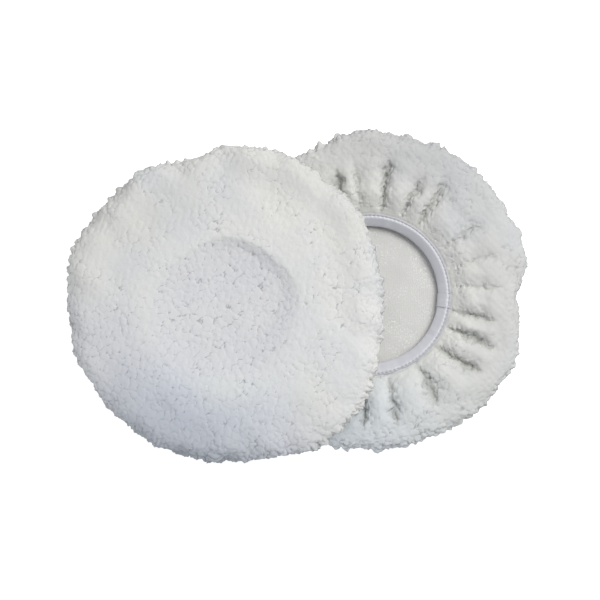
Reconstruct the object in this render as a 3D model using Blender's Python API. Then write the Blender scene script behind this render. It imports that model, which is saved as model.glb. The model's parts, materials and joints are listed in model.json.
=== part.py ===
"""A set of two polishing pads: pull-on fleece bonnets for a car polisher.

Each pad is one disc of deep-pile fleece whose edge is drawn in by an elastic binding, so that it makes
a shallow bag with a round mouth. The lower pad lies on its working face with its mouth up. The upper
pad lies mouth down and leans on the lower one, face up.

Frame: metres, +Z up, the floor at z = 0, and the origin under the middle of the set's bounding box.
Each pad is modelled round its own axis, mouth up, with its working face at z = 0, and is then placed.
"""

import math

import bmesh
import bpy
from mathutils import Matrix, Vector

MM = 0.001

# One pad
PAD_RADIUS = 125 * MM
PILE_DEPTH = 8 * MM
BACKING_THICKNESS = 1.15 * MM
PLY_GAP = 0.3 * MM
FOLD_RADIUS = 4.5 * MM  # of the knitted ground, where the face turns over into the skirt
SKIRT_PUFF = 2 * MM  # rise of the skirt's ground between the fold and the mouth
SKIRT_START = 106 * MM  # radius where the gathers begin
GATHERS = 24
GATHER_DEPTH = 5 * MM

# The mouth: fleece edge, folded elastic binding, elastic strip and stitches
EDGE_RADIUS = 61.5 * MM
EDGE_HEIGHT = 16.8 * MM
EDGE_PILE = 0.95 * MM  # pile crushed flat inside the binding
BINDING_INNER = 55.6 * MM
BINDING_OUTER = 65.2 * MM
BINDING_HALF_HEIGHT = 2.1 * MM
BINDING_THICKNESS = 0.7 * MM
PILE_FREE = 66 * MM  # radius where the pile stands clear of the binding
PILE_FULL = 86 * MM  # radius where it has its full depth
STRIP_RADII = (57.4 * MM, 61.0 * MM)
STRIP_HEIGHTS = (-0.9 * MM, -0.1 * MM)
LAP_LENGTH = 12 * MM
LAP_THICKNESS = 0.6 * MM
STITCH_RADIUS = 64 * MM
STITCHES = 48
THREAD_RADIUS = 0.2 * MM

# The set
PAD_SPACING = Vector((113 * MM, 11 * MM, 0))  # from the upper pad's axis to the lower pad's
LEAN = math.radians(11.5)  # of the upper pad, on the lower one
LAP_BEARING = math.radians(-4)

RING_SEGMENTS = 48
SKIRT_SEGMENTS = 3 * GATHERS

FOLD_CENTRE = Vector((PAD_RADIUS - PILE_DEPTH - FOLD_RADIUS, 0, PILE_DEPTH + FOLD_RADIUS))
SKIRT_HEIGHT = FOLD_CENTRE.z + FOLD_RADIUS


def smooth(low, high, value):
    """0 below low, 1 above high, and an S-curve between them."""
    share = min(1, max(0, (value - low) / (high - low)))
    return share * share * (3 - 2 * share)


def arc(radius, first, last, steps):
    """Points on the fold's arc, at angles in degrees from the horizontal."""
    points = []
    for i in range(steps + 1):
        angle = math.radians(first + (last - first) * i / steps)
        points.append(FOLD_CENTRE + radius * Vector((math.cos(angle), 0, math.sin(angle))))
    return points


def ground_height(radius):
    """Height of the skirt's knitted ground, without its gathers. It is level inside the binding."""
    share = (FOLD_CENTRE.x - radius) / (FOLD_CENTRE.x - PILE_FREE)
    share = min(1, max(0, share))
    drop = (SKIRT_HEIGHT - EDGE_HEIGHT) * share
    return SKIRT_HEIGHT + SKIRT_PUFF * math.sin(math.pi * share) - drop


def pile_depth(radius):
    """Depth of the skirt's pile, which the binding crushes at the edge."""
    return EDGE_PILE + (PILE_DEPTH - EDGE_PILE) * smooth(PILE_FREE, PILE_FULL, radius)


def skirt_line(radii, lift):
    """A line across the skirt, this far above its ground: a distance, or a function of the radius."""
    lift_at = lift if callable(lift) else lambda radius: lift
    return [Vector((r, 0, ground_height(r) + lift_at(r))) for r in radii]


def spread(first, last, steps):
    return [first + (last - first) * i / steps for i in range(steps + 1)]


def material(name, colour, roughness):
    made = bpy.data.materials.new(name)
    made.use_nodes = True
    shader = made.node_tree.nodes["Principled BSDF"]
    shader.inputs["Base Color"].default_value = (*colour, 1)
    shader.inputs["Roughness"].default_value = roughness
    shader.inputs["Metallic"].default_value = 0
    return made


def finish(name, mesh, pad, finish_material):
    mesh.shade_smooth()
    mesh.set_sharp_from_angle(angle=math.radians(50))
    mesh.materials.append(finish_material)
    piece = bpy.data.objects.new(name, mesh)
    bpy.context.scene.collection.objects.link(piece)
    piece.parent = pad
    return piece


def revolve(outline, segments, closed, turn=math.tau, bearing=0.0, lift=None):
    """A mesh swept round +Z from an outline in the XZ plane, capped if the turn isn't a whole one.
    lift, where given, raises each point. The quads it warps are split along their shorter diagonals,
    which are the same ones on both of two facing surfaces."""
    whole = turn == math.tau
    mesh = bmesh.new()
    points = [mesh.verts.new(p) for p in outline]
    pairs = list(zip(points, points[1:]))
    if closed:
        pairs.append((points[-1], points[0]))
    edges = [mesh.edges.new(pair) for pair in pairs]
    if not whole:
        mesh.faces.new(points)
    bmesh.ops.spin(
        mesh,
        geom=points + edges + list(mesh.faces),
        axis=(0, 0, 1),
        cent=(0, 0, 0),
        angle=turn,
        steps=segments,
        use_merge=whole,
    )
    bmesh.ops.remove_doubles(mesh, verts=mesh.verts, dist=0.001 * MM)
    bmesh.ops.recalc_face_normals(mesh, faces=mesh.faces)
    bmesh.ops.rotate(mesh, verts=mesh.verts, matrix=Matrix.Rotation(bearing, 3, "Z"))
    if lift:
        for point in mesh.verts:
            point.co.z += lift(point.co)
        bmesh.ops.triangulate(mesh, faces=mesh.faces, quad_method="SHORT_EDGE")
    made = bpy.data.meshes.new("revolved")
    mesh.to_mesh(made)
    mesh.free()
    return made


def gather_lift(point):
    """Height of the radiating gathers at a point of the skirt. They die out at the fold and the mouth."""
    radius = math.hypot(point.x, point.y)
    fade = smooth(PILE_FREE, PILE_FREE + 9 * MM, radius)
    fade *= 1 - smooth(SKIRT_START - 14 * MM, SKIRT_START, radius)
    return GATHER_DEPTH / 2 * fade * math.cos(GATHERS * math.atan2(point.y, point.x))


def face_outline(outer_offset, inner_offset, flange_steps):
    """Closed section, from the axis out over the fold to the start of the skirt and back, of a ply
    whose two surfaces stand off the knitted ground by these distances, positive towards the pile."""

    def surface(offset):
        flange = skirt_line(spread(FOLD_CENTRE.x, SKIRT_START, flange_steps)[1:], offset)
        return [Vector((0, 0, PILE_DEPTH - offset)), *arc(FOLD_RADIUS + offset, -90, 90, 4), *flange]

    return surface(outer_offset) + surface(inner_offset)[::-1]


def skirt_outline(outer_lift, inner_lift):
    """Closed section of a skirt ply, from the start of the gathers in to the fleece's edge and back.
    Both plies have their rows at the same radii, so that their facing surfaces stay parallel."""
    gathered = spread(SKIRT_START - PLY_GAP, PILE_FULL - 7 * MM, 2)
    radii = [*gathered, PILE_FREE + 3 * MM, PILE_FREE, EDGE_RADIUS]
    return skirt_line(radii, outer_lift) + skirt_line(radii[::-1], inner_lift)


def fold_over(half_height, inner_radius, outer_radius, thickness):
    """Closed section of a tape folded round the fleece's edge, open towards the fleece."""
    nose = inner_radius + half_height

    def side(height):
        points = [Vector((outer_radius, 0, EDGE_HEIGHT + height))]
        for angle in (90, 135, 180, 225, 270):
            bearing = math.radians(angle)
            offset = Vector((math.cos(bearing), 0, math.sin(bearing))) * height
            points.append(Vector((nose, 0, EDGE_HEIGHT)) + offset)
        points.append(Vector((outer_radius, 0, EDGE_HEIGHT - height)))
        return points

    return side(half_height) + side(half_height - thickness)[::-1]


def rectangle(radii, heights):
    corners = ((0, 0), (1, 0), (1, 1), (0, 1))
    return [Vector((radii[i], 0, EDGE_HEIGHT + heights[j])) for i, j in corners]


def thread(name, pad, side, thread_material):
    """A line of stitches on one side of the binding, as one thread that rises and dips."""
    low = BINDING_HALF_HEIGHT + THREAD_RADIUS + 0.15 * MM
    rise = 1.5 * THREAD_RADIUS
    curve = bpy.data.curves.new(name, "CURVE")
    curve.dimensions = "3D"
    curve.bevel_depth = THREAD_RADIUS
    curve.bevel_resolution = 0
    spline = curve.splines.new("POLY")
    spline.points.add(2 * STITCHES - 1)
    spline.use_cyclic_u = True
    for i, point in enumerate(spline.points):
        bearing = math.pi * i / STITCHES
        height = EDGE_HEIGHT + side * (low + rise * (i % 2))
        point.co = (STITCH_RADIUS * math.cos(bearing), STITCH_RADIUS * math.sin(bearing), height, 1)
    curve.materials.append(thread_material)
    piece = bpy.data.objects.new(name, curve)
    bpy.context.scene.collection.objects.link(piece)
    piece.parent = pad
    return piece


def build_fleece(prefix, pad, finishes):
    """The face with its fold, and the gathered skirt, each as a pile and its knitted backing."""
    half_gap = PLY_GAP / 2
    inside = -half_gap - BACKING_THICKNESS
    face_pile = revolve(face_outline(PILE_DEPTH, half_gap, 1), RING_SEGMENTS, closed=False)
    finish(prefix + "face_pile", face_pile, pad, finishes["pile"])
    face_backing = revolve(face_outline(-half_gap, inside, 1), RING_SEGMENTS, closed=False)
    finish(prefix + "face_backing", face_backing, pad, finishes["backing"])

    plies = (("pile", pile_depth, half_gap), ("backing", -half_gap, inside))
    for ply, outer_lift, inner_lift in plies:
        outline = skirt_outline(outer_lift, inner_lift)
        skirt = revolve(outline, SKIRT_SEGMENTS, closed=True, lift=gather_lift)
        finish(f"{prefix}skirt_{ply}", skirt, pad, finishes[ply])


def build_mouth(prefix, pad, finishes):
    """The folded binding with its lapped end, the elastic strip inside it, and its two threads."""
    binding = fold_over(BINDING_HALF_HEIGHT, BINDING_INNER, BINDING_OUTER, BINDING_THICKNESS)
    finish(
        prefix + "edge_binding", revolve(binding, RING_SEGMENTS, closed=True), pad, finishes["binding"]
    )

    lap_turn = LAP_LENGTH / BINDING_OUTER
    lap_reach = PLY_GAP + LAP_THICKNESS
    lap = fold_over(
        BINDING_HALF_HEIGHT + lap_reach,
        BINDING_INNER - lap_reach,
        STITCH_RADIUS - 4 * THREAD_RADIUS,
        LAP_THICKNESS,
    )
    lap_mesh = revolve(lap, 3, closed=True, turn=lap_turn, bearing=LAP_BEARING - lap_turn / 2)
    finish(prefix + "binding_lap", lap_mesh, pad, finishes["binding"])

    strip = rectangle(STRIP_RADII, STRIP_HEIGHTS)
    finish(
        prefix + "elastic_strip", revolve(strip, RING_SEGMENTS, closed=True), pad, finishes["elastic"]
    )
    strip_lap = rectangle(STRIP_RADII, [-height for height in STRIP_HEIGHTS[::-1]])
    strip_lap_mesh = revolve(strip_lap, 3, closed=True, turn=lap_turn, bearing=LAP_BEARING + math.pi)
    finish(prefix + "elastic_lap", strip_lap_mesh, pad, finishes["elastic"])

    thread(prefix + "needle_thread", pad, 1, finishes["thread"])
    thread(prefix + "bobbin_thread", pad, -1, finishes["thread"])


def empty(name, matrix, parent=None):
    made = bpy.data.objects.new(name, None)
    bpy.context.scene.collection.objects.link(made)
    made.parent = parent
    made.matrix_local = matrix
    return made


def place_lower_pad():
    return empty("lower_pad", Matrix.Translation(PAD_SPACING / 2))


def place_upper_pad():
    """Turned mouth down, and tipped up about the middle of its fold's far side, where it rests."""
    up = Vector((0, 0, 1))
    towards_lower = PAD_SPACING.normalized()
    pivot = up * FOLD_CENTRE.z - PAD_SPACING / 2 - towards_lower * FOLD_CENTRE.x
    tipped = Matrix.Rotation(LEAN, 4, towards_lower.cross(up))
    tip = empty("upper_pad_tip", Matrix.Translation(pivot) @ tipped)
    turned = Matrix.Rotation(math.pi, 4, towards_lower)
    centre = up * FOLD_CENTRE.z + towards_lower * FOLD_CENTRE.x
    return empty("upper_pad", Matrix.Translation(centre) @ turned, tip)


def main():
    for leftover in list(bpy.data.objects):
        bpy.data.objects.remove(leftover)
    finishes = {
        "pile": material("white_pile", (0.78, 0.79, 0.79), 0.95),
        "backing": material("knitted_backing", (0.72, 0.71, 0.67), 0.9),
        "binding": material("satin_binding", (0.74, 0.75, 0.79), 0.4),
        "elastic": material("white_elastic", (0.8, 0.8, 0.78), 0.7),
        "thread": material("white_thread", (0.85, 0.85, 0.86), 0.6),
    }
    for prefix, pad in (("lower_", place_lower_pad()), ("upper_", place_upper_pad())):
        build_fleece(prefix, pad, finishes)
        build_mouth(prefix, pad, finishes)


main()
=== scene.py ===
import json
import math

import bmesh
import bpy
import numpy as np
from mathutils import Matrix, Vector
from mathutils.kdtree import KDTree


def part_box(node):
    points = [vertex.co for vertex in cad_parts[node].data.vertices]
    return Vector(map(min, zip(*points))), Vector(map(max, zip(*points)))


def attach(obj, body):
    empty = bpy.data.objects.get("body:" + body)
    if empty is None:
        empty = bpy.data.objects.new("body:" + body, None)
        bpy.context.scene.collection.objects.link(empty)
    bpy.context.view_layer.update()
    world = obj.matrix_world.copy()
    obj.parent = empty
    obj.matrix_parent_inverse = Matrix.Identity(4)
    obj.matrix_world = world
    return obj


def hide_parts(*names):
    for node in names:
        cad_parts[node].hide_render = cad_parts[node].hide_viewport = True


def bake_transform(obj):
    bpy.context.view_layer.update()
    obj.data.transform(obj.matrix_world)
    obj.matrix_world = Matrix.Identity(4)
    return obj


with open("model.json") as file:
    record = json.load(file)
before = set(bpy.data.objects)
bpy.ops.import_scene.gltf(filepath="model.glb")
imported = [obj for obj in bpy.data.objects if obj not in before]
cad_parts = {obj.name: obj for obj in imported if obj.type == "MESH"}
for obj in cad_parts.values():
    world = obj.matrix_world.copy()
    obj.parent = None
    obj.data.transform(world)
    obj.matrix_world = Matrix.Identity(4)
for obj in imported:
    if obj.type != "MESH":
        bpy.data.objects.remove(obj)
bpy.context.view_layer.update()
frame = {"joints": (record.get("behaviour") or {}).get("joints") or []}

# Two pull-on polishing bonnets of curled fleece: the lower one lies mouth up, and the upper one leans
# on it with its working face up. Both are built by the same functions.

MM = 0.001

# One pad, in its own frame: its axis is +Z, its mouth is up and its working face is at z = 0
HINGE = {joint["name"]: joint for joint in frame["joints"]}
RING_HEIGHT = HINGE["lower_elastic_creep"]["pos_m"][2]
PAD_RADIUS = (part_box("lower_face_pile")[1].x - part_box("lower_face_pile")[0].x) / 2
RING_RADIUS = (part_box("lower_edge_binding")[1].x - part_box("lower_edge_binding")[0].x) / 2
FOLD = 12.5 * MM  # radius of the pile round the fold, where face and skirt meet
FOLD_X = PAD_RADIUS - FOLD  # radius of the fold's centre line
PILE = 8 * MM  # depth of the pile
GROUND_FOLD = FOLD - PILE
LIP_RADIUS = RING_RADIUS - 1.9 * MM  # where the fleece's edge ends inside the binding
LIP_RISE = 1.1 * MM  # the edge's top above the middle of the ring
LIP_THICKNESS = 1.6 * MM
KNIT_GAP = 0.2 * MM  # between the pile and the knitted ground
KNIT = 0.9 * MM  # the knitted ground's thickness
TAPE = 0.5 * MM  # the tape's thickness
SEAM_RADIUS = RING_RADIUS - 1.8 * MM
STITCHES = 120  # round the seam
STITCH = 2.2 * MM  # a stitch's length
TACKS = 6  # at each end of the lap
TACK = 1.3 * MM  # a tack's length
THREAD = 0.34 * MM  # the thread's radius
THREAD_SIDES = 8
ELASTIC_HALF = (2.1 * MM, 0.3 * MM)  # half its width and half its thickness
LAP = 12 * MM  # how far the tape's ends lap, round the ring
LAP_HALF_TURN = LAP / RING_RADIUS / 2
LAP_LIFT = TAPE + 0.12 * MM  # the lapped end above the tape under it
INNER_FACE = 60 * MM  # inside this radius there is only the face
SKIRT_OUT = 106 * MM  # the skirt moves with the pad outside this radius,

# Gathers. The gaps are degrees between neighbouring valleys, clockwise from the first one
RIDGE_HEIGHT = 29.3 * MM  # how high the skirt stands half-way from the mouth to the fold
VALLEY_LENGTH = 45 * MM
FIRST_VALLEY = 107
VALLEY_GAPS = (10, 15, 14, 12, 25, 12, 13, 17, 11, 16, 17, 22, 17, 14, 11, 17, 13, 16, 12, 18, 13, 15, 14, 16)
DEEPEST = (2, 9, 10, 13, 17, 20)  # the valleys that are the deepest, counted from the first
SHALLOW = (1, 5, 15, 22)
SHALLOWEST = (6, 7)

CELL = 0.95 * MM  # the remeshed fleece's voxel
CURL = 6.8 * MM  # a curl's width
CURL_HEIGHT = 1.25 * MM
TOOTH = 2.1 * MM  # how far the tufts stand out along the outline
BEARINGS = 400  # points round each ring of the fleece before it is remeshed

# Puffing up
PRESSURE = 4
PUFF_FRAMES = 20
PUFF_CAP = 2.5 * MM  # how far a point may move


def smooth(low, high, value):
    share = np.clip((value - low) / (high - low), 0, 1)
    return share * share * (3 - 2 * share)


def ripple(points, size, seed):
    """Smooth noise from -1 to 1, with bumps of about this size, from a few crossing waves."""
    rng = np.random.default_rng(seed)
    total = np.zeros(len(points))
    waves = 9
    for _ in range(waves):
        direction = rng.normal(size=3)
        direction *= 2 * math.pi / size * rng.uniform(0.6, 1.4) / np.linalg.norm(direction)
        total += np.sin(points @ direction + rng.uniform(0, 2 * math.pi))
    return total / math.sqrt(waves) * 0.8


# ---------------------------------------------------------------- one pad's shape

SKIRT_RADII = np.concatenate(
    (np.linspace(FOLD_X, 74 * MM, 20), np.linspace(72 * MM, 64.5 * MM, 5), [LIP_RADIUS])
)


class Pad:
    def __init__(self, prefix, seed, outline, dish, shade):
        self.prefix = prefix
        self.seed = seed
        self.outline = outline
        self.dish = dish
        self.shade = shade
        joint = HINGE[prefix + "elastic_creep"]
        axis = Vector(joint["axis"]).normalized()
        self.hand = 1 if axis.z > 0 else -1  # a pad that is turned over has its bearings the other way round
        ahead = Vector((0, 1, 0)).cross(axis).normalized() * self.hand
        self.matrix = Matrix((ahead, axis.cross(ahead), axis)).transposed().to_4x4()
        self.matrix.translation = Vector(joint["pos_m"]) - axis * RING_HEIGHT
        lap = self.matrix.inverted() @ (sum(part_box(prefix + "binding_lap"), Vector()) / 2)
        self.lap_bearing = math.atan2(lap.y, lap.x)
        rng = np.random.default_rng(seed)
        count = len(VALLEY_GAPS)
        valleys = np.radians(FIRST_VALLEY - np.cumsum((0, *VALLEY_GAPS[:-1]))) * self.hand
        depth = np.full(count, 0.9)
        depth[list(DEEPEST)] = 1.05
        depth[list(SHALLOW)] = 0.6
        depth[list(SHALLOWEST)] = 0.45
        order = np.argsort(valleys % (2 * math.pi))
        self.valleys = (valleys % (2 * math.pi))[order]
        self.depth = depth[order]
        self.bend = np.radians(rng.uniform(-4, 4, count))
        self.reach = rng.uniform(108, 119, count) * MM
        self.height = rng.uniform(0.7, 1, count)

    def ridge(self, radius, bearing):
        """(0 in a valley to 1 on a ridge, which valley is near, which ridge it is on)"""
        along = (radius - RING_RADIUS) / VALLEY_LENGTH
        at = np.stack((radius * np.cos(bearing), radius * np.sin(bearing), np.zeros_like(bearing)), 1)
        ragged = 1.3 * ripple(at, 10 * MM, self.seed + 40) + 0.6 * ripple(at, 5 * MM, self.seed + 41)
        bearing = bearing + ragged * MM / radius * smooth(0, 0.4, along)
        valleys = self.valleys + self.bend * along
        count = len(valleys)
        spread = np.concatenate((valleys, valleys[:1] + 2 * math.pi))
        turned = valleys[0] + (bearing - valleys[0]) % (2 * math.pi)
        which = np.clip(np.searchsorted(spread, turned, side="right") - 1, 0, count - 1)
        share = (turned - spread[which]) / (spread[which + 1] - spread[which])
        share = np.clip(share, 0, 1)
        power = 0.4 + 0.32 * np.clip(along, 0, 1)
        bump = np.sin(math.pi * share) ** power
        near = np.where(share < 0.5, which, (which + 1) % count)
        return bump, near, which

    def skirt(self, radius, bearing):
        """(height of the pile's surface, how deep in a valley it is) along one ring of the skirt."""
        bump, near, which = self.ridge(radius, bearing)
        lip = RING_HEIGHT + LIP_RISE
        fold_top = 2 * FOLD
        crown = lip + (RIDGE_HEIGHT - lip) * smooth(LIP_RADIUS - 3 * MM, 84 * MM, radius)
        crown = crown + (fold_top - crown) * smooth(98 * MM, FOLD_X, radius)
        floor = lip + 0.4 * MM * smooth(LIP_RADIUS, 72 * MM, radius)
        floor = floor + (fold_top - 0.4 * MM - floor) * smooth(94 * MM, FOLD_X + 2 * MM, radius)
        fade = 1 - smooth(self.reach[near] - 20 * MM, self.reach[near], radius)
        fade = fade * smooth(LIP_RADIUS - 4 * MM, LIP_RADIUS + 8 * MM, radius)
        deep = (1 - bump) * fade * self.depth[near]
        low_ridge = 0.4 * (1 - self.height[which]) * bump * (1 - smooth(90 * MM, FOLD_X, radius))
        return crown - (crown - floor) * (deep + low_ridge), deep

    def ground(self, bearing, offset, face_steps, fold_steps):
        """Rings of points (radius, height) from the face's centre over the fold to the mouth, this far
        inside the fleece's ground."""
        rings = [(radius, PILE + offset) for radius in np.linspace(0.5 * MM, FOLD_X, face_steps)]
        for angle in np.radians(np.linspace(-90, 90, fold_steps)[1:-1]):
            arm = GROUND_FOLD - offset
            rings.append((FOLD_X + arm * math.cos(angle), FOLD + arm * math.sin(angle)))
        for radius in SKIRT_RADII:
            height, valley = self.skirt(radius, bearing)
            thick = LIP_THICKNESS + (PILE - 1.8 * MM) * smooth(LIP_RADIUS + MM, 84 * MM, radius)
            rings.append((radius, height - thick * (1 - 0.45 * valley) - offset))
        return rings

    def pile(self, bearing):
        """The same rings for the pile's outside. The second list says how firmly each point is held
        when the fleece is puffed up, from 0 to 1."""
        rings = [(radius, 0.0) for radius in np.linspace(0.5 * MM, FOLD_X, 26)]
        held = [0] * len(rings)
        for angle in np.radians(np.linspace(-90, 90, 13)[1:-1]):
            rings.append((FOLD_X + FOLD * math.cos(angle), FOLD + FOLD * math.sin(angle)))
            held.append(0)
        for radius in SKIRT_RADII:
            height, valley = self.skirt(radius, bearing)
            rings.append((radius, height))
            at_mouth = 1 - smooth(66 * MM, 74 * MM, radius)
            held.append(np.maximum(smooth(0.35, 0.75, valley), at_mouth))
        return rings, held

    def shape(self, points):
        """Bends points of the plain round pad into this one: its outline, dish and unevenness."""
        radius = np.hypot(points[:, 0], points[:, 1])
        bearing = np.arctan2(points[:, 1], points[:, 0]) * self.hand
        wider = self.outline(bearing) * smooth(64 * MM, PAD_RADIUS, radius)
        shaped = points.copy()
        shaped[:, :2] *= (1 + wider / np.maximum(radius, MM))[:, None]
        face = 1 - smooth(9 * MM, 20 * MM, points[:, 2]) * smooth(58 * MM, 62 * MM, radius)
        shaped[:, 2] += self.dish(radius, bearing) * face
        free = smooth(70 * MM, 95 * MM, radius)
        for axis, size in enumerate((26, 26, 34)):
            noise = ripple(points, size * MM, self.seed + axis + 1)
            shaped[:, axis] += 0.9 * MM * noise * free
        return shaped


def is_outer(points, normals):
    """Which points are on the pile's side of the fleece, not on its ground."""
    radius = np.hypot(points[:, 0], points[:, 1])
    face = (points[:, 2] < FOLD) | (radius < INNER_FACE)
    out = points[:, :2] / np.maximum(radius, MM)[:, None]
    across = np.where(face, -1.0, 1.0)
    facing = normals[:, 2] * across
    round_fold = radius > FOLD_X - MM
    swing = np.stack((radius - FOLD_X, points[:, 2] - FOLD), 1)
    swing /= np.maximum(np.linalg.norm(swing, axis=1), 1e-6)[:, None]
    turned = (normals[:, :2] * out).sum(1) * swing[:, 0] + normals[:, 2] * swing[:, 1]
    return np.where(round_fold, turned, facing) > 0


# ---------------------------------------------------------------- meshes


def coordinates(mesh):
    values = np.empty(len(mesh.vertices) * 3, np.float32)
    mesh.vertices.foreach_get("co", values)
    return values.reshape(-1, 3).astype(float)


def set_coordinates(mesh, points):
    mesh.vertices.foreach_set("co", points.astype(np.float32).ravel())
    mesh.update()


def vertex_normals(mesh):
    values = np.empty(len(mesh.vertices) * 3, np.float32)
    mesh.vertex_normals.foreach_get("vector", values)
    return values.reshape(-1, 3).astype(float)


def attribute(mesh, name, values):
    layer = mesh.attributes.new(name, "FLOAT", "POINT")
    layer.data.foreach_set("value", values.astype(np.float32))


def new_object(name, mesh):
    made = bpy.data.objects.new(name, mesh)
    bpy.context.scene.collection.objects.link(made)
    return made


def evaluated(obj):
    """The mesh of an object with its modifiers applied. The object is removed."""
    bpy.context.view_layer.update()
    made = bpy.data.meshes.new_from_object(obj.evaluated_get(bpy.context.evaluated_depsgraph_get()))
    bpy.data.objects.remove(obj)
    return made


def closed_mesh(name, points, faces):
    """A mesh of these faces, all turned to look outward."""
    mesh = bpy.data.meshes.new(name)
    mesh.from_pydata(points.tolist(), [], faces)
    outward = bmesh.new()
    outward.from_mesh(mesh)
    bmesh.ops.recalc_face_normals(outward, faces=outward.faces)
    outward.to_mesh(mesh)
    outward.free()
    return mesh


def ring_points(rings, bearing):
    """The points of rings of (radius, height), each at these bearings."""
    points = [
        np.stack((r * np.cos(bearing), r * np.sin(bearing), np.broadcast_to(z, bearing.shape)), 1)
        for r, z in rings
    ]
    return np.concatenate(points)


def corners_of(mesh):
    """(the vertex at each corner of each face, each face's first corner, each corner's face)"""
    vertices = np.empty(len(mesh.loops), np.int32)
    mesh.loops.foreach_get("vertex_index", vertices)
    starts = np.empty(len(mesh.polygons), np.int32)
    mesh.polygons.foreach_get("loop_start", starts)
    face = np.repeat(np.arange(len(starts)), np.diff(np.append(starts, len(vertices))))
    return vertices, starts, face


def uv_layer(mesh, values):
    layer = mesh.uv_layers.new(name="OFBake")
    layer.data.foreach_set("uv", values.astype(np.float32).ravel())


def grid_islands(mesh, count):
    """A UV layer for a mesh of rings: along the ring by across it."""
    loops, starts, owner = corners_of(mesh)
    size = np.array((count, len(mesh.vertices) // count))
    place_in = np.stack((loops % count, loops // count), 1)
    for axis in (0, 1):
        low = np.minimum.reduceat(place_in[:, axis], starts)[owner]
        high = np.maximum.reduceat(place_in[:, axis], starts)[owner]
        wraps = (high - low > size[axis] / 2) & (place_in[:, axis] == low)
        place_in[:, axis] += np.where(wraps, size[axis], 0)
    uv_layer(mesh, place_in / (size + 1))


def ring_mesh(name, points, count, loop=False, capped=False, open_ring=False):
    """A mesh of quads through rings of this many points each. loop joins the last ring to the first,
    capped fills them instead, and open_ring leaves each ring a strip with closed ends."""
    index = np.arange(len(points)).reshape(-1, count)
    pairs = list(zip(index, index[1:]))
    if loop:
        pairs.append((index[-1], index[0]))
    faces = []
    for a, b in pairs:
        quads = np.stack((a, np.roll(a, -1), np.roll(b, -1), b), 1)
        faces.extend(quads[:-1].tolist() if open_ring else quads.tolist())
    if open_ring:
        faces.append(index[::-1, 0].tolist())
        faces.append(index[:, -1].tolist())
    if capped:
        faces.append(index[0][::-1].tolist())
        faces.append(index[-1].tolist())
    return closed_mesh(name, points, faces)


def puff(points, held, count):
    """Puffs the fleece up with Blender's cloth, under a little pressure, where it isn't held. Every
    second point of each ring is simulated, and the others move with their neighbours."""
    step = 2
    rings = points.reshape(-1, count, 3)
    coarse = rings[:, ::step].reshape(-1, 3)
    mesh = ring_mesh("cloth", coarse, count // step, capped=True)
    cloth = new_object("cloth", mesh)
    group = cloth.vertex_groups.new(name="held")
    for i, weight in enumerate(held[:, ::step].ravel()):
        group.add([i], float(weight), "REPLACE")
    modifier = cloth.modifiers.new("Cloth", "CLOTH")
    settings = modifier.settings
    settings.vertex_group_mass = "held"
    settings.use_pressure = True
    settings.uniform_pressure_force = PRESSURE
    settings.quality = 4
    settings.mass = 0.3
    settings.tension_stiffness = settings.compression_stiffness = 8
    settings.shear_stiffness = 3
    settings.bending_stiffness = 0.3
    settings.effector_weights.gravity = 0
    modifier.collision_settings.use_collision = False
    for number in range(1, PUFF_FRAMES + 1):
        bpy.context.scene.frame_set(number)
    puffed = coordinates(evaluated(cloth))
    moved = (puffed - coarse).reshape(len(rings), -1, 3)
    length = np.linalg.norm(moved, axis=2, keepdims=True)
    moved *= PUFF_CAP * np.tanh(length / PUFF_CAP) / np.maximum(length, 1e-9)
    print("puffed by up to", round(length.max() / MM, 1), "mm, mean", round(length.mean() / MM, 2))
    fine = np.empty_like(rings)
    fine[:, ::step] = moved
    fine[:, 1::step] = (moved + np.roll(moved, -1, axis=1)) / 2
    bpy.context.scene.frame_set(1)
    return points + fine.reshape(-1, 3)


def remesh(name, mesh, cell):
    shell = new_object(name, mesh)
    modifier = shell.modifiers.new("Remesh", "REMESH")
    modifier.mode = "VOXEL"
    modifier.voxel_size = cell
    modifier.adaptivity = 0
    evener = shell.modifiers.new("Smooth", "SMOOTH")
    evener.factor = 0.5
    evener.iterations = 2
    return evaluated(shell)


def curl_seeds(points, seed):
    """Indices of the points where curls sit: one in each cell of a grid, none too near another."""
    rng = np.random.default_rng(seed)
    order = rng.permutation(len(points))
    cells = np.floor(points[order] / (CURL * 0.92)).astype(np.int64)
    keys = cells @ np.array((1, 4096, 4096 * 4096))
    _, first = np.unique(keys, return_index=True)
    chosen = order[np.sort(first)]
    tree = KDTree(len(chosen))
    for i, p in enumerate(points[chosen]):
        tree.insert(p, i)
    tree.balance()
    kept = np.ones(len(chosen), bool)
    for i, p in enumerate(points[chosen]):
        if kept[i]:
            for _, j, _ in tree.find_range(p, CURL * 0.55):
                if j > i:
                    kept[j] = False
    return chosen[kept]


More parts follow.
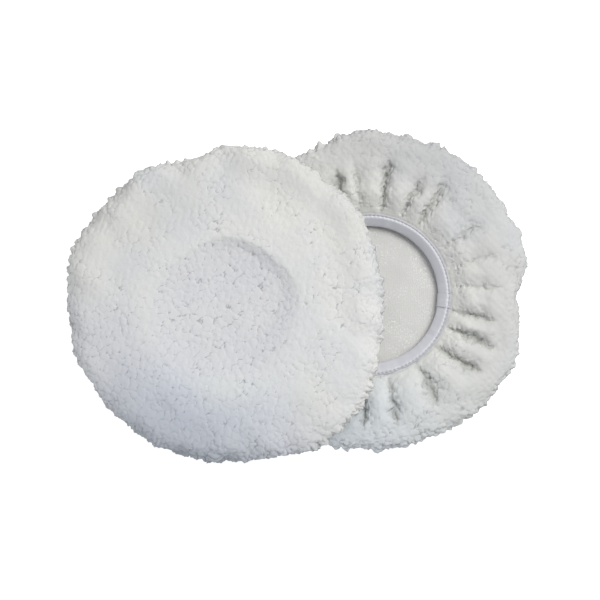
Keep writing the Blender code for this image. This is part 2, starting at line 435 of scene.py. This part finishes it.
def curls(points, normals, outer, seed):
    """How far each point stands out on its curl, from 0 in the crevice round it to about 1, and how far
    it is from that crevice."""
    rng = np.random.default_rng(seed)
    candidates = np.flatnonzero(outer)
    chosen = candidates[curl_seeds(points[candidates], seed)]
    centres = points[chosen]
    tangents = np.cross(normals[chosen], rng.normal(size=(len(chosen), 3)))
    tangents /= np.linalg.norm(tangents, axis=1)[:, None]
    stretch = rng.uniform(1.0, 1.75, len(chosen))
    tall = rng.uniform(0.6, 1.0, len(chosen))
    tree = KDTree(len(centres))
    for i, p in enumerate(centres):
        tree.insert(p, i)
    tree.balance()
    warp = np.stack([ripple(points, 5.2 * MM, seed + 11 + k) for k in range(3)], 1) * 1.1 * MM
    warp += np.stack([ripple(points, 2.4 * MM, seed + 14 + k) for k in range(3)], 1) * 0.35 * MM
    near = 5
    index = np.zeros((len(points), near), int)
    for i in candidates:
        index[i] = [found[1] for found in tree.find_n(points[i] + warp[i], near)]
    offset = (points + warp)[:, None, :] - centres[index]
    along = (offset * tangents[index]).sum(2)
    total = (offset * offset).sum(2)
    across = np.sqrt(np.maximum(total - along * along, 0))
    long = stretch[index]
    distance = np.sqrt((along / long) ** 2 + (across * np.sqrt(long)) ** 2)
    ranked = np.argsort(distance, axis=1)
    best = np.take_along_axis(distance, ranked, 1)
    owner = np.take_along_axis(index, ranked, 1)[:, 0]
    edge = best[:, 1] - best[:, 0]
    flank = smooth(0, 1.6 * MM, edge)
    dome = np.sqrt(np.clip(1 - (best[:, 0] / (CURL * 0.78)) ** 2, 0, 1))
    lump = (0.6 * flank + 0.4 * dome * flank**0.6) * tall[owner]
    return np.where(outer, lump, 0), np.where(outer, edge, CURL)


def islands(mesh, points, outer):
    """A UV layer for textures: the pile's two sides as big discs, the ground's as small."""
    radius = np.hypot(points[:, 0], points[:, 1])
    face = (points[:, 2] < FOLD) | (radius < INNER_FACE)
    turn = np.arctan2(np.abs(points[:, 2] - FOLD), np.maximum(radius - FOLD_X, 1e-6))
    arc = np.where(radius > FOLD_X, FOLD_X + FOLD * (math.pi / 2 - turn), radius)
    flat = points[:, :2] / np.maximum(radius, 1e-6)[:, None] * arc[:, None]
    flat /= FOLD_X + FOLD * 1.75
    loops, starts, owner = corners_of(mesh)
    kind = (face[loops[starts]].astype(int) + 2 * outer[loops[starts]].astype(int))[owner]
    centres = np.array(((0.12, 0.88), (0.88, 0.12), (0.705, 0.705), (0.295, 0.295)))
    scales = np.array((0.11, 0.11, 0.285, 0.285))
    uv_layer(mesh, centres[kind] + flat[loops] * scales[kind][:, None])


def settle(mesh, pad):
    """Moves a mesh from its pad's own frame to the row's, with nothing below the floor."""
    mesh.transform(pad.matrix)
    points = coordinates(mesh)
    points[:, 2] = np.maximum(points[:, 2], 0.05 * MM)
    set_coordinates(mesh, points)


def bend_skirt(piece, pad):
    """Lays the mesh out by radius, each skirt point at how far inside SKIRT_OUT it is and the rest at the
    origin, bakes the object's transform into the mesh there, and puts the points back."""
    mesh = piece.data
    placed = coordinates(mesh)
    matrix = np.array(pad.matrix.inverted())
    local = placed @ matrix[:3, :3].T + matrix[:3, 3]
    radius = np.hypot(local[:, 0], local[:, 1])
    skirt = (local[:, 2] > FOLD) & (radius > INNER_FACE)
    laid_out = np.zeros_like(placed)
    laid_out[:, 0] = np.where(skirt, np.maximum(SKIRT_OUT - radius, 0), 0)
    set_coordinates(mesh, laid_out)
    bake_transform(piece)
    set_coordinates(mesh, placed)


# ---------------------------------------------------------------- materials


def nodes_for(name):
    made = bpy.data.materials.new(name)
    made.use_nodes = True
    tree = made.node_tree
    return made, tree, tree.nodes["Principled BSDF"]


def node(tree, kind, inputs=None, **settings):
    made = tree.nodes.new(kind)
    for key, value in settings.items():
        setattr(made, key, value)
    for key, value in (inputs or {}).items():
        if isinstance(value, bpy.types.NodeSocket):
            tree.links.new(value, made.inputs[key])
        else:
            made.inputs[key].default_value = value
    return made


def place(tree):
    return node(tree, "ShaderNodeTexCoord").outputs["Object"]


def mixed(tree, share, first, second, blend="MIX"):
    made = node(tree, "ShaderNodeMix", data_type="RGBA", blend_type=blend)
    for socket, value in ((made.inputs[0], share), (made.inputs[6], first), (made.inputs[7], second)):
        if isinstance(value, bpy.types.NodeSocket):
            tree.links.new(value, socket)
        else:
            socket.default_value = value
    return made.outputs[2]


def ranged(tree, value, low, high):
    """0 at low, 1 at high, smooth between."""
    made = node(
        tree,
        "ShaderNodeMapRange",
        {"Value": value, "From Min": low, "From Max": high},
        interpolation_type="SMOOTHSTEP",
    )
    return made.outputs["Result"]


def maths(tree, operation, *values):
    return node(tree, "ShaderNodeMath", dict(enumerate(values)), operation=operation).outputs[0]


def fleece_material():
    made, tree, shader = nodes_for("fleece")
    here = place(tree)
    edge, apart, sunk, valley, shade, near_side = (
        node(tree, "ShaderNodeAttribute", attribute_name=name).outputs["Fac"]
        for name in ("edge", "apart", "sunk", "valley", "shade", "near_side")
    )
    cool = node(tree, "ShaderNodeTexNoise", {"Vector": here, "Scale": 24, "Detail": 3}).outputs["Fac"]
    warm = node(tree, "ShaderNodeTexNoise", {"Vector": here, "Scale": 11, "Detail": 2}).outputs["Fac"]
    colour = mixed(tree, ranged(tree, cool, 0.35, 0.65), (0.63, 0.635, 0.64, 1), (0.655, 0.66, 0.648, 1))
    colour = mixed(tree, ranged(tree, warm, 0.42, 0.62), colour, (0.665, 0.665, 0.635, 1))
    # painted shade: where the face sinks into the dish it is tinted darker and more lavender
    colour = mixed(tree, maths(tree, "MULTIPLY", sunk, 0.5), colour, (0.605, 0.60, 0.63, 1))
    # painted shade: the shade attribute mixes the pile towards grey
    colour = mixed(tree, maths(tree, "MULTIPLY", shade, 0.4), colour, (0.32, 0.325, 0.33, 1))
    # painted shade: a cooler, bluer cast on each pad's near side, which faces away from the key light
    colour = mixed(tree, near_side, colour, (0.94, 0.99, 1.07, 1), "MULTIPLY")
    # painted shade: darker olive in the valleys of the gathers, made ragged by noise, and in a line where the
    # pile tucks under the tape
    tufts = node(tree, "ShaderNodeTexNoise", {"Vector": here, "Scale": 230, "Detail": 3}).outputs["Fac"]
    valley = maths(tree, "ADD", valley, maths(tree, "MULTIPLY_ADD", tufts, 0.55, -0.275))
    deep = maths(tree, "MULTIPLY", ranged(tree, valley, 0.16, 0.75), 0.45)
    colour = mixed(tree, deep, colour, (0.25, 0.26, 0.225, 1))
    # painted shade: thin dark lines in the crevices between curls, in noisy patches, darker where the curls
    # stand apart
    gap = maths(tree, "SUBTRACT", 1, ranged(tree, edge, 0.05, 0.55))
    parted = node(tree, "ShaderNodeTexNoise", {"Vector": here, "Scale": 85, "Detail": 2}).outputs["Fac"]
    gap = maths(tree, "MULTIPLY", gap, ranged(tree, parted, 0.3, 0.5))
    contrast = maths(tree, "MULTIPLY_ADD", apart, 0.66, 0.06)
    colour = mixed(tree, maths(tree, "MULTIPLY", gap, contrast), colour, (0.28, 0.275, 0.30, 1))
    # painted shade: the pile darkens at grazing angles, which draws a dark line round each outline
    grazing = node(tree, "ShaderNodeLayerWeight", {"Blend": 0.5}).outputs["Facing"]
    rim = maths(tree, "MULTIPLY", maths(tree, "POWER", grazing, 5), 0.85)
    colour = mixed(tree, rim, colour, (0.22, 0.22, 0.22, 1))
    tree.links.new(colour, shader.inputs["Base Color"])
    shader.inputs["Roughness"].default_value = 0.95
    shader.inputs["Specular IOR Level"].default_value = 0.15
    strands = node(tree, "ShaderNodeTexNoise", {"Vector": here, "Scale": 700, "Detail": 4}).outputs["Fac"]
    loops = node(tree, "ShaderNodeTexVoronoi", {"Vector": here, "Scale": 420}).outputs["Distance"]
    rounded = maths(tree, "MULTIPLY_ADD", apart, 0.7, 0.2)
    rounded = maths(tree, "MULTIPLY", ranged(tree, edge, 0, 1.4), rounded)
    normal = None
    for height, distance, strength in (
        (rounded, 0.4 * MM, 0.22),
        (strands, 0.3 * MM, 0.4),
        (maths(tree, "SUBTRACT", 1, loops), 0.4 * MM, 0.32),
    ):
        inputs = {"Height": height, "Distance": distance, "Strength": strength}
        if normal:
            inputs["Normal"] = normal
        normal = node(tree, "ShaderNodeBump", inputs).outputs["Normal"]
    tree.links.new(normal, shader.inputs["Normal"])
    return made


def knit_material():
    made, tree, shader = nodes_for("knitted ground")
    here = place(tree)
    uneven = {"Vector": here, "Distortion": 7, "Detail": 3, "Detail Scale": 2}
    across, along = (
        node(tree, "ShaderNodeTexWave", {**uneven, "Scale": scale}, bands_direction=axis).outputs["Fac"]
        for axis, scale in (("X", 210), ("Y", 260))
    )
    stitch = maths(tree, "MULTIPLY", across, along)
    fuzz = node(tree, "ShaderNodeTexNoise", {"Vector": here, "Scale": 650, "Detail": 4}).outputs["Fac"]
    specks = ranged(tree, fuzz, 0.5, 0.68)
    patches = node(tree, "ShaderNodeTexNoise", {"Vector": here, "Scale": 60, "Detail": 2}).outputs["Fac"]
    share = maths(tree, "MULTIPLY", stitch, 0.22)
    colour = mixed(tree, share, (0.61, 0.605, 0.59, 1), (0.70, 0.695, 0.68, 1))
    specks = maths(tree, "MULTIPLY", specks, ranged(tree, patches, 0.3, 0.6))
    colour = mixed(tree, specks, colour, (0.77, 0.77, 0.755, 1))
    tree.links.new(colour, shader.inputs["Base Color"])
    shader.inputs["Roughness"].default_value = 0.9
    shader.inputs["Sheen Weight"].default_value = 0.2
    fine = node(tree, "ShaderNodeBump", {"Height": fuzz, "Distance": 0.2 * MM, "Strength": 0.6})
    bumps = {"Height": stitch, "Distance": 0.3 * MM, "Strength": 0.45, "Normal": fine.outputs["Normal"]}
    tree.links.new(node(tree, "ShaderNodeBump", bumps).outputs["Normal"], shader.inputs["Normal"])
    return made


def satin_material():
    made, tree, shader = nodes_for("satin tape")
    here = place(tree)
    cloudy = node(tree, "ShaderNodeTexNoise", {"Vector": here, "Scale": 60, "Detail": 2}).outputs["Fac"]
    colour = mixed(tree, cloudy, (0.56, 0.565, 0.61, 1), (0.62, 0.625, 0.66, 1))
    hem = node(tree, "ShaderNodeAttribute", attribute_name="hem").outputs["Fac"]
    # painted shade on the tape outside its seam
    colour = mixed(tree, maths(tree, "MULTIPLY", hem, 0.45), colour, (0.2, 0.2, 0.22, 1))
    tree.links.new(colour, shader.inputs["Base Color"])
    shader.inputs["Roughness"].default_value = 0.45
    shader.inputs["Anisotropic"].default_value = 0.4
    shader.inputs["Sheen Weight"].default_value = 0.15
    weave = node(tree, "ShaderNodeTexNoise", {"Vector": here, "Scale": 1600, "Detail": 2}).outputs["Fac"]
    bump = node(tree, "ShaderNodeBump", {"Height": weave, "Distance": 0.08 * MM, "Strength": 0.5})
    tree.links.new(bump.outputs["Normal"], shader.inputs["Normal"])
    return made


def thread_material():
    made, tree, shader = nodes_for("thread")
    here = place(tree)
    twist = node(
        tree, "ShaderNodeTexWave", {"Vector": here, "Scale": 900}, bands_direction="DIAGONAL"
    ).outputs["Fac"]
    colour = mixed(tree, twist, (0.56, 0.56, 0.59, 1), (0.72, 0.72, 0.75, 1))
    tree.links.new(colour, shader.inputs["Base Color"])
    shader.inputs["Roughness"].default_value = 0.5
    bump = node(tree, "ShaderNodeBump", {"Height": twist, "Distance": 0.1 * MM, "Strength": 0.6})
    tree.links.new(bump.outputs["Normal"], shader.inputs["Normal"])
    return made


def elastic_material():
    made, tree, shader = nodes_for("braided elastic")
    here = place(tree)
    braid = node(
        tree, "ShaderNodeTexWave", {"Vector": here, "Scale": 500, "Distortion": 1}, bands_direction="DIAGONAL"
    ).outputs["Fac"]
    colour = mixed(tree, braid, (0.6, 0.6, 0.58, 1), (0.8, 0.8, 0.78, 1))
    tree.links.new(colour, shader.inputs["Base Color"])
    shader.inputs["Roughness"].default_value = 0.7
    bump = node(tree, "ShaderNodeBump", {"Height": braid, "Distance": 0.15 * MM, "Strength": 0.8})
    tree.links.new(bump.outputs["Normal"], shader.inputs["Normal"])
    return made


# ---------------------------------------------------------------- pieces


def finish_piece(mesh, pad, name, material):
    settle(mesh, pad)
    mesh.shade_smooth()
    mesh.materials.append(material)
    return new_object(pad.prefix + name, mesh)


def fleece_sheet(pad):
    """The plain closed sheet of the face and the skirt, puffed up and remeshed evenly."""
    bearing = np.linspace(0, 2 * math.pi, BEARINGS, endpoint=False)
    rings, held = pad.pile(bearing)
    inside = pad.ground(bearing, 0, 14, 7)[::-1]
    held = np.array([np.broadcast_to(h, bearing.shape) for h in held + [1] * len(inside)])
    shaped = pad.shape(ring_points(rings + inside, bearing))
    shaped = puff(shaped, held, BEARINGS)
    return remesh("remeshed", ring_mesh("plain", shaped, BEARINGS, capped=True), CELL)


def valley_depth(pad, radius, turn, where):
    """How deep in a valley each of the points marked by where is, from 0 to about 1."""
    valley = np.zeros(len(radius))
    ring = np.round(radius / MM)
    for r in np.unique(ring[where]):
        row = where & (ring == r)
        valley[row] = pad.skirt(r * MM, turn[row])[1]
    return valley


def build_fleece(pad, material):
    """The curled pile of the face and the skirt, in one closed sheet."""
    mesh = fleece_sheet(pad)
    points = coordinates(mesh)
    normals = vertex_normals(mesh)
    radius = np.hypot(points[:, 0], points[:, 1])
    turn = np.arctan2(points[:, 1], points[:, 0])
    bearing = turn * pad.hand
    outer = is_outer(points, normals)
    skirt = (points[:, 2] > FOLD) & (radius > INNER_FACE)
    lump, edge = curls(points, normals, outer, pad.seed)

    # Where the curls stand apart: in patches, in the dish and in the valleys
    patches = ripple(points, 34 * MM, pad.seed + 5) + 0.5 * ripple(points, 15 * MM, pad.seed + 7)
    sunk = np.where(skirt, 0, smooth(0.2 * MM, 2 * MM, pad.dish(radius, bearing)))
    valley = valley_depth(pad, radius, turn, skirt & outer)
    apart = np.maximum(smooth(-0.5, 0.8, patches), sunk)
    apart = np.maximum(apart, smooth(0.1, 0.5, valley))

    # The curls, tallest round the fold, and the tufts that make the outline ragged
    # near_side is the side of each pad round bearing 255 degrees: the curls start earlier there, and the
    # material paints a cool shade there
    near_side = lumps(bearing, ((255, 45, 1),)) / MM * smooth(30 * MM, 90 * MM, radius)
    fold_starts = FOLD_X + 8 * MM - 7 * MM * near_side
    reach = radius - pad.outline(bearing)
    at_fold = smooth(fold_starts, PAD_RADIUS + MM, reach)
    at_fold += 0.25 * smooth(FOLD_X - 12 * MM, fold_starts, reach)
    at_valley = smooth(0.1, 0.4, valley)
    size = CURL_HEIGHT * (0.18 + 0.26 * apart + 0.45 * at_valley + 1.25 * at_fold)
    fuzz = 0.4 * np.maximum(at_fold, at_valley) * MM * ripple(points, 2.8 * MM, pad.seed + 6)
    fuzz += 0.13 * MM * ripple(points, 5.5 * MM, pad.seed + 12)
    free = np.where(skirt, smooth(LIP_RADIUS + 0.5 * MM, LIP_RADIUS + 6 * MM, radius), 1)
    flat = points * (1, 1, 0.25)
    tufts = np.abs(ripple(flat, 13 * MM, pad.seed + 9)) + 0.5 * np.abs(ripple(flat, 6 * MM, pad.seed + 10))
    points += normals * ((size * (lump - 0.5) + fuzz) * free * outer)[:, None]
    points[:, :2] *= (1 + TOOTH * (tufts - 0.6) * at_fold * outer / np.maximum(radius, MM))[:, None]
    set_coordinates(mesh, points)

    # What the material needs. The shade attribute is painted shade: the back of the pad is painted greyer,
    # but not next to the mouth
    back = 0.6 * smooth(FOLD - 6 * MM, FOLD + 6 * MM, points[:, 2]) * (radius > INNER_FACE)
    near_mouth = 0.75 * skirt * (1 - smooth(68 * MM, 96 * MM, radius))
    shade = np.maximum(back + pad.shade(radius, bearing), 0) * (1 - near_mouth)
    # painted shade in a line where the pile tucks under the tape, stored with the valleys
    tucked_shade = np.exp(-(((radius - RING_RADIUS - MM) / (1.3 * MM)) ** 2)) * skirt
    attribute(mesh, "edge", edge / MM)
    attribute(mesh, "apart", apart)
    attribute(mesh, "sunk", sunk)
    attribute(mesh, "near_side", near_side)
    attribute(mesh, "valley", np.maximum(valley, 0.5 * tucked_shade))
    attribute(mesh, "shade", shade)
    islands(mesh, points, outer)
    piece = finish_piece(mesh, pad, "fleece", material)
    bend_skirt(piece, pad)
    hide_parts(pad.prefix + "face_pile", pad.prefix + "skirt_pile")
    print(piece.name, len(mesh.polygons), "faces")


def build_knit(pad, material):
    """The knitted ground that shows inside the mouth."""
    count = 240
    bearing = np.linspace(0, 2 * math.pi, count, endpoint=False)
    rings = pad.ground(bearing, KNIT_GAP, 60, 9) + pad.ground(bearing, KNIT_GAP + KNIT, 60, 9)[::-1]
    points = pad.shape(ring_points(rings, bearing))
    points[:, 2] += 0.25 * MM * ripple(points, 22 * MM, pad.seed + 8)
    mesh = ring_mesh("knit", points, count, capped=True)
    grid_islands(mesh, count)
    piece = finish_piece(mesh, pad, "knit", material)
    bend_skirt(piece, pad)
    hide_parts(pad.prefix + "face_backing", pad.prefix + "skirt_backing")


def curve_through(points, steps):
    """Points on a smooth open curve through these, in millimetres, as metres."""
    points = np.array(points, float) * MM
    padded = np.concatenate((2 * points[:1] - points[1:2], points, 2 * points[-1:] - points[-2:-1]))
    curve = []
    for a, b, c, d in zip(padded, padded[1:], padded[2:], padded[3:]):
        for t in np.arange(steps) / steps:
            square, cube = 2 * a - 5 * b + 4 * c - d, 3 * b - a - 3 * c + d
            curve.append(0.5 * (2 * b + (c - a) * t + square * t**2 + cube * t**3))
    return np.array(curve + [points[-1]])


def tape_profile(lift):
    """Closed section (radius, height) of the tape folded round the edge, lifted this far off it. Its
    top leans in towards the mouth and has a groove along the seam."""
    across = RING_RADIUS / MM
    middle = RING_HEIGHT / MM
    shape = (
        (0.1, 1.8), (-0.7, 2.15), (-1.8, 1.7), (-2.9, 2.2), (-5.4, 0.6), (-8.0, -1.3),
        (-9.3, -2.7), (-7.8, -3.8), (-4.2, -2.8), (0.1, -2.3),
    )
    inside = curve_through([(across + r, middle + z) for r, z in shape], 4)
    along = np.gradient(inside, axis=0)
    normal = np.stack((along[:, 1], -along[:, 0]), 1)
    normal /= np.linalg.norm(normal, axis=1)[:, None]
    return np.concatenate((inside + normal * lift, (inside + normal * (lift + TAPE))[::-1]))


def pucker(points, pad):
    """Small uneven puckers of the tape, and a dimple under each stitch."""
    bearing = np.arctan2(points[:, 1], points[:, 0])
    radius = np.hypot(points[:, 0], points[:, 1])
    waves = np.zeros(len(points))
    rng = np.random.default_rng(pad.seed + 20)
    for turns in (5, 9, 14, 23, 31, 44, 61):
        waves += np.sin(turns * bearing + rng.uniform(0, 2 * math.pi)) / (1 + turns / 20)
    puckered = points.copy()
    puckered[:, 2] += 0.16 * MM * waves
    near_seam = np.exp(-(((radius - SEAM_RADIUS) / (1.2 * MM)) ** 2))
    puckered[:, 2] -= 0.2 * MM * np.cos(STITCHES * bearing) * near_seam
    return puckered


def mark_hem(mesh):
    """Marks the tape outside its seam, which the satin material darkens as painted shade."""
    radius = np.hypot(*coordinates(mesh)[:, :2].T)
    attribute(mesh, "hem", smooth(SEAM_RADIUS - 0.6 * MM, SEAM_RADIUS + 0.5 * MM, radius))


def build_tape(pad, material):
    count = STITCHES * 6
    bearing = np.linspace(0, 2 * math.pi, count, endpoint=False)
    points = pucker(ring_points(tape_profile(0), bearing), pad)
    mesh = ring_mesh("tape", points, count, loop=True)
    grid_islands(mesh, count)
    mark_hem(mesh)
    piece = finish_piece(mesh, pad, "tape", material)
    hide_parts(pad.prefix + "edge_binding")
    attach(piece, pad.prefix + "rim")

    count = 30
    bearing = pad.lap_bearing + np.linspace(-LAP_HALF_TURN, LAP_HALF_TURN, count)
    points = pucker(ring_points(tape_profile(LAP_LIFT), bearing), pad)
    mesh = ring_mesh("lap", points, count, loop=True, open_ring=True)
    grid_islands(mesh, count)
    mark_hem(mesh)
    piece = finish_piece(mesh, pad, "tape_lap", material)
    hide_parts(pad.prefix + "binding_lap")
    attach(piece, pad.prefix + "rim")


def stitch_points(length, thickness):
    """Rings of points along +X of one stitch, arched so that its ends go down into the cloth."""
    stations = ((-1, 0.3), (-0.85, 0.8), (-0.45, 1), (0, 1.05), (0.45, 1), (0.85, 0.8), (1, 0.3))
    around = np.linspace(0, 2 * math.pi, THREAD_SIDES, endpoint=False)
    points = []
    for along, width in stations:
        arch = -1.1 * thickness * along**4
        for angle in around:
            across, up = thickness * width * math.cos(angle), thickness * width * math.sin(angle)
            points.append((along * length / 2, across, arch + up))
    return np.array(points)


def build_stitches(pad, name, side, node_name, material):
    """The seam's stitches on one side of the tape, and the tacks across its lapped end."""
    rng = np.random.default_rng(pad.seed + 30)
    one = stitch_points(STITCH, THREAD)
    tack = stitch_points(TACK, THREAD)
    height = 2.1 * MM if side > 0 else 2.95 * MM
    placed = []
    for i in range(STITCHES):
        turn = 2 * math.pi * (i + 0.5) / STITCHES + rng.uniform(-0.003, 0.003)
        yaw = turn + math.pi / 2 + rng.uniform(-0.09, 0.09)
        radius = SEAM_RADIUS + rng.uniform(-0.08, 0.08) * MM
        on_lap = abs(math.remainder(turn - pad.lap_bearing, 2 * math.pi)) < LAP_HALF_TURN
        placed.append((one, radius, turn, yaw, height + (LAP_LIFT if on_lap else 0)))
    for end in (-0.8, 0.8):
        for i in range(TACKS):
            turn = pad.lap_bearing + LAP_HALF_TURN * end + (0.004 if i % 2 else -0.004)
            radius = SEAM_RADIUS + (1 - 0.45 * i) * MM
            up = height + LAP_LIFT + 0.1 * MM + 0.35 * abs(radius - SEAM_RADIUS)
            placed.append((tack, radius, turn, turn + (0.9 if i % 2 else 2.2), up))
    points = []
    for shape, radius, turn, yaw, up in placed:
        c, s = math.cos(yaw), math.sin(yaw)
        centre = np.array((radius * math.cos(turn), radius * math.sin(turn), RING_HEIGHT + side * up))
        turned = shape * (1, 1, side)
        points.append(turned @ np.array(((c, s, 0), (-s, c, 0), (0, 0, 1))) + centre)
    rings = len(one) // THREAD_SIDES
    faces = []
    for k in range(len(placed)):
        index = (k * rings * THREAD_SIDES + np.arange(rings * THREAD_SIDES)).reshape(rings, THREAD_SIDES)
        for a, b in zip(index, index[1:]):
            faces.extend(np.stack((a, np.roll(a, -1), np.roll(b, -1), b), 1).tolist())
        faces.append(index[0][::-1].tolist())
        faces.append(index[-1].tolist())
    mesh = closed_mesh("stitches", pucker(np.concatenate(points), pad), faces)
    piece = finish_piece(mesh, pad, name, material)
    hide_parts(pad.prefix + node_name)
    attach(piece, pad.prefix + "rim")


def elastic_profile(lift):
    """Closed section of the flat elastic, which leans in with the tape it lies in."""
    lean = math.radians(26)
    centre = np.array((RING_RADIUS - 5.2 * MM, RING_HEIGHT - 1.65 * MM + lift))
    turned = np.array(((math.cos(lean), math.sin(lean)), (-math.sin(lean), math.cos(lean))))
    ribs = ((-1, 1), (-0.5, 1.15), (0, 1), (0.5, 1.15), (1, 1))
    section = [(along, -up) for along, up in ribs] + list(ribs[::-1])
    return [centre + np.array(corner) * ELASTIC_HALF @ turned for corner in section]


def build_elastic(pad, material):
    count = 360
    bearing = np.linspace(0, 2 * math.pi, count, endpoint=False)
    mesh = ring_mesh("elastic", ring_points(elastic_profile(0), bearing), count, loop=True)
    grid_islands(mesh, count)
    piece = finish_piece(mesh, pad, "elastic", material)
    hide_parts(pad.prefix + "elastic_strip")
    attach(piece, pad.prefix + "elastic")

    count = 24
    bearing = pad.lap_bearing + math.pi + np.linspace(-LAP_HALF_TURN, LAP_HALF_TURN, count)
    mesh = ring_mesh("lap", ring_points(elastic_profile(0.8 * MM), bearing), count, loop=True, open_ring=True)
    grid_islands(mesh, count)
    piece = finish_piece(mesh, pad, "elastic_overlap", material)
    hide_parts(pad.prefix + "elastic_lap")
    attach(piece, pad.prefix + "elastic")


# ---------------------------------------------------------------- the set


def lumps(bearing, bumps):
    """The sum of these bumps in a pad's outline: (bearing and spread in degrees, height in mm)."""
    total = np.zeros_like(bearing)
    for at, spread, height in bumps:
        off = (bearing - math.radians(at) + math.pi) % (2 * math.pi) - math.pi
        total += height * MM * np.exp(-((off / math.radians(spread)) ** 2))
    return total


def lower_outline(bearing):
    far = ((52, 36, 7.5), (92, 10, 6), (17, 11, 4.5))
    near = ((0, 7, -5.5), (-26, 8, 4.5), (-44, 12, 3.5))
    return lumps(bearing, far + near)


def upper_outline(bearing):
    far = ((38, 17, 7), (66, 12, 6), (84, 9, 4), (106, 8, -3), (122, 7, 5), (158, 20, 7))
    near = ((-40, 24, 7.5), (196, 16, 3), (232, 14, -1), (270, 26, -4.5))
    return 1.5 * MM + lumps(bearing, far + near)


def no_dish(radius, bearing):
    return np.zeros_like(radius)


def dish_rim(radius, bearing):
    """(how far inside the dish's rim a point is, how sharp the rim is there, from 0 to 1)"""
    x, y = radius * np.cos(bearing), radius * np.sin(bearing) + 3 * MM
    turn = np.arctan2(y, x)
    rim = 60 * MM + 3 * MM * np.sin(2 * turn + 0.6) + 2 * MM * np.sin(5 * turn)
    return rim - np.hypot(x, y), lumps(turn, ((66, 72, 1),)) / MM


def upper_dish(radius, bearing):
    """The face sinks into the hollow mouth under it, most sharply along the far side's arc, and droops
    on the near side."""
    inside, sharp = dish_rim(radius, bearing)
    width = 8 * MM + 24 * MM * (1 - sharp)
    bowl = 4 * MM * smooth(-0.2 * width, width, inside)
    droop = 6 * MM * smooth(50 * MM, 110 * MM, radius) * lumps(bearing, ((242, 50, 1),)) / MM
    return bowl + droop


# Painted shade on the lower pad: darker towards the top and the right, a little lighter at the bottom
def lower_shade(radius, bearing):
    outer = smooth(90 * MM, 118 * MM, radius)
    broad = lumps(bearing, ((22, 66, 0.43), (-90, 35, -0.2)))
    return (outer * lumps(bearing, ((74, 36, 0.8),)) + broad) / MM


# Painted shade on the upper pad: on its near side and edge, along its far edge, in a dark line and band just
# inside the dish's rim, and on its upper left
def upper_shade(radius, bearing):
    near = smooth(55 * MM, 112 * MM, radius) * lumps(bearing, ((250, 45, 1.3),)) / MM
    near += smooth(104 * MM, 122 * MM, radius) * lumps(bearing, ((262, 30, 0.5),)) / MM
    far = smooth(95 * MM, 118 * MM, radius) * lumps(bearing, ((100, 60, 0.3), (42, 45, 0.7))) / MM
    inside, sharp = dish_rim(radius, bearing)
    hollow = 0.25 * sharp * smooth(0, 6 * MM, inside) * (1 - smooth(12 * MM, 36 * MM, inside))
    hollow += 0.4 * sharp * np.exp(-(((inside - 2 * MM) / (1.8 * MM)) ** 2))
    left = smooth(55 * MM, 85 * MM, radius) * (1 - smooth(98 * MM, 116 * MM, radius))
    left *= lumps(bearing, ((116, 34, 0.4),)) / MM
    return near + far + hollow + left


FLEECE_LOOK = fleece_material()
KNIT_LOOK = knit_material()
SATIN_LOOK = satin_material()
THREAD_LOOK = thread_material()
ELASTIC_LOOK = elastic_material()

for pad in (
    Pad("lower_", 3, lower_outline, no_dish, lower_shade),
    Pad("upper_", 8, upper_outline, upper_dish, upper_shade),
):
    build_fleece(pad, FLEECE_LOOK)
    build_knit(pad, KNIT_LOOK)
    build_tape(pad, SATIN_LOOK)
    build_stitches(pad, "needle_stitches", 1, "needle_thread", THREAD_LOOK)
    build_stitches(pad, "bobbin_stitches", -1, "bobbin_thread", THREAD_LOOK)
    build_elastic(pad, ELASTIC_LOOK)


# ---------------------------------------------------------------- floor, light and camera

floor_mesh = bpy.data.meshes.new("floor")
half = 3
corners = [(-half, -half, 0), (half, -half, 0), (half, half, 0), (-half, half, 0)]
floor_mesh.from_pydata(corners, [], [(0, 1, 2, 3)])
floor_look, floor_tree, floor_shader = nodes_for("floor")
floor_shader.inputs["Base Color"].default_value = (0.93, 0.93, 0.93, 1)
floor_shader.inputs["Roughness"].default_value = 0.9
floor_shader.inputs["Emission Color"].default_value = (1, 1, 1, 1)
seen = node(floor_tree, "ShaderNodeLightPath").outputs["Is Camera Ray"]
floor_tree.links.new(maths(floor_tree, "MULTIPLY", seen, 0.6), floor_shader.inputs["Emission Strength"])
floor_mesh.materials.append(floor_look)
floor = new_object("floor", floor_mesh)

world = bpy.data.worlds.new("studio")
world.use_nodes = True
world.node_tree.nodes["Background"].inputs["Color"].default_value = (0.95, 0.97, 1, 1)
seen = node(world.node_tree, "ShaderNodeLightPath").outputs["Is Camera Ray"]
white = maths(world.node_tree, "MULTIPLY_ADD", seen, 1, 0.55)
world.node_tree.links.new(white, world.node_tree.nodes["Background"].inputs["Strength"])
bpy.context.scene.world = world


def soft_light(name, location, energy, colour):
    light = bpy.data.lights.new(name, "AREA")
    light.shape = "DISK"
    light.size = 1.0
    light.energy = energy
    light.color = colour
    lamp = new_object(name, light)
    lamp.location = location
    lamp.rotation_euler = (-Vector(location)).to_track_quat("-Z", "Y").to_euler()


soft_light("key", (0.7, 0.68, 1.2), 19, (1, 0.99, 0.97))
soft_light("fill", (-0.7, -0.85, 0.4), 3, (0.97, 0.98, 1))

camera_data = bpy.data.cameras.new("camera")
camera_height = 1.5
view_width = 0.478
camera_data.sensor_width = 36
camera_data.lens = 36 * (camera_height - 0.03) / view_width
camera = new_object("camera", camera_data)
camera.location = (0.8 * MM, 1.4 * MM, camera_height)
bpy.context.scene.camera = camera
bpy.context.scene.view_settings.view_transform = "Standard"
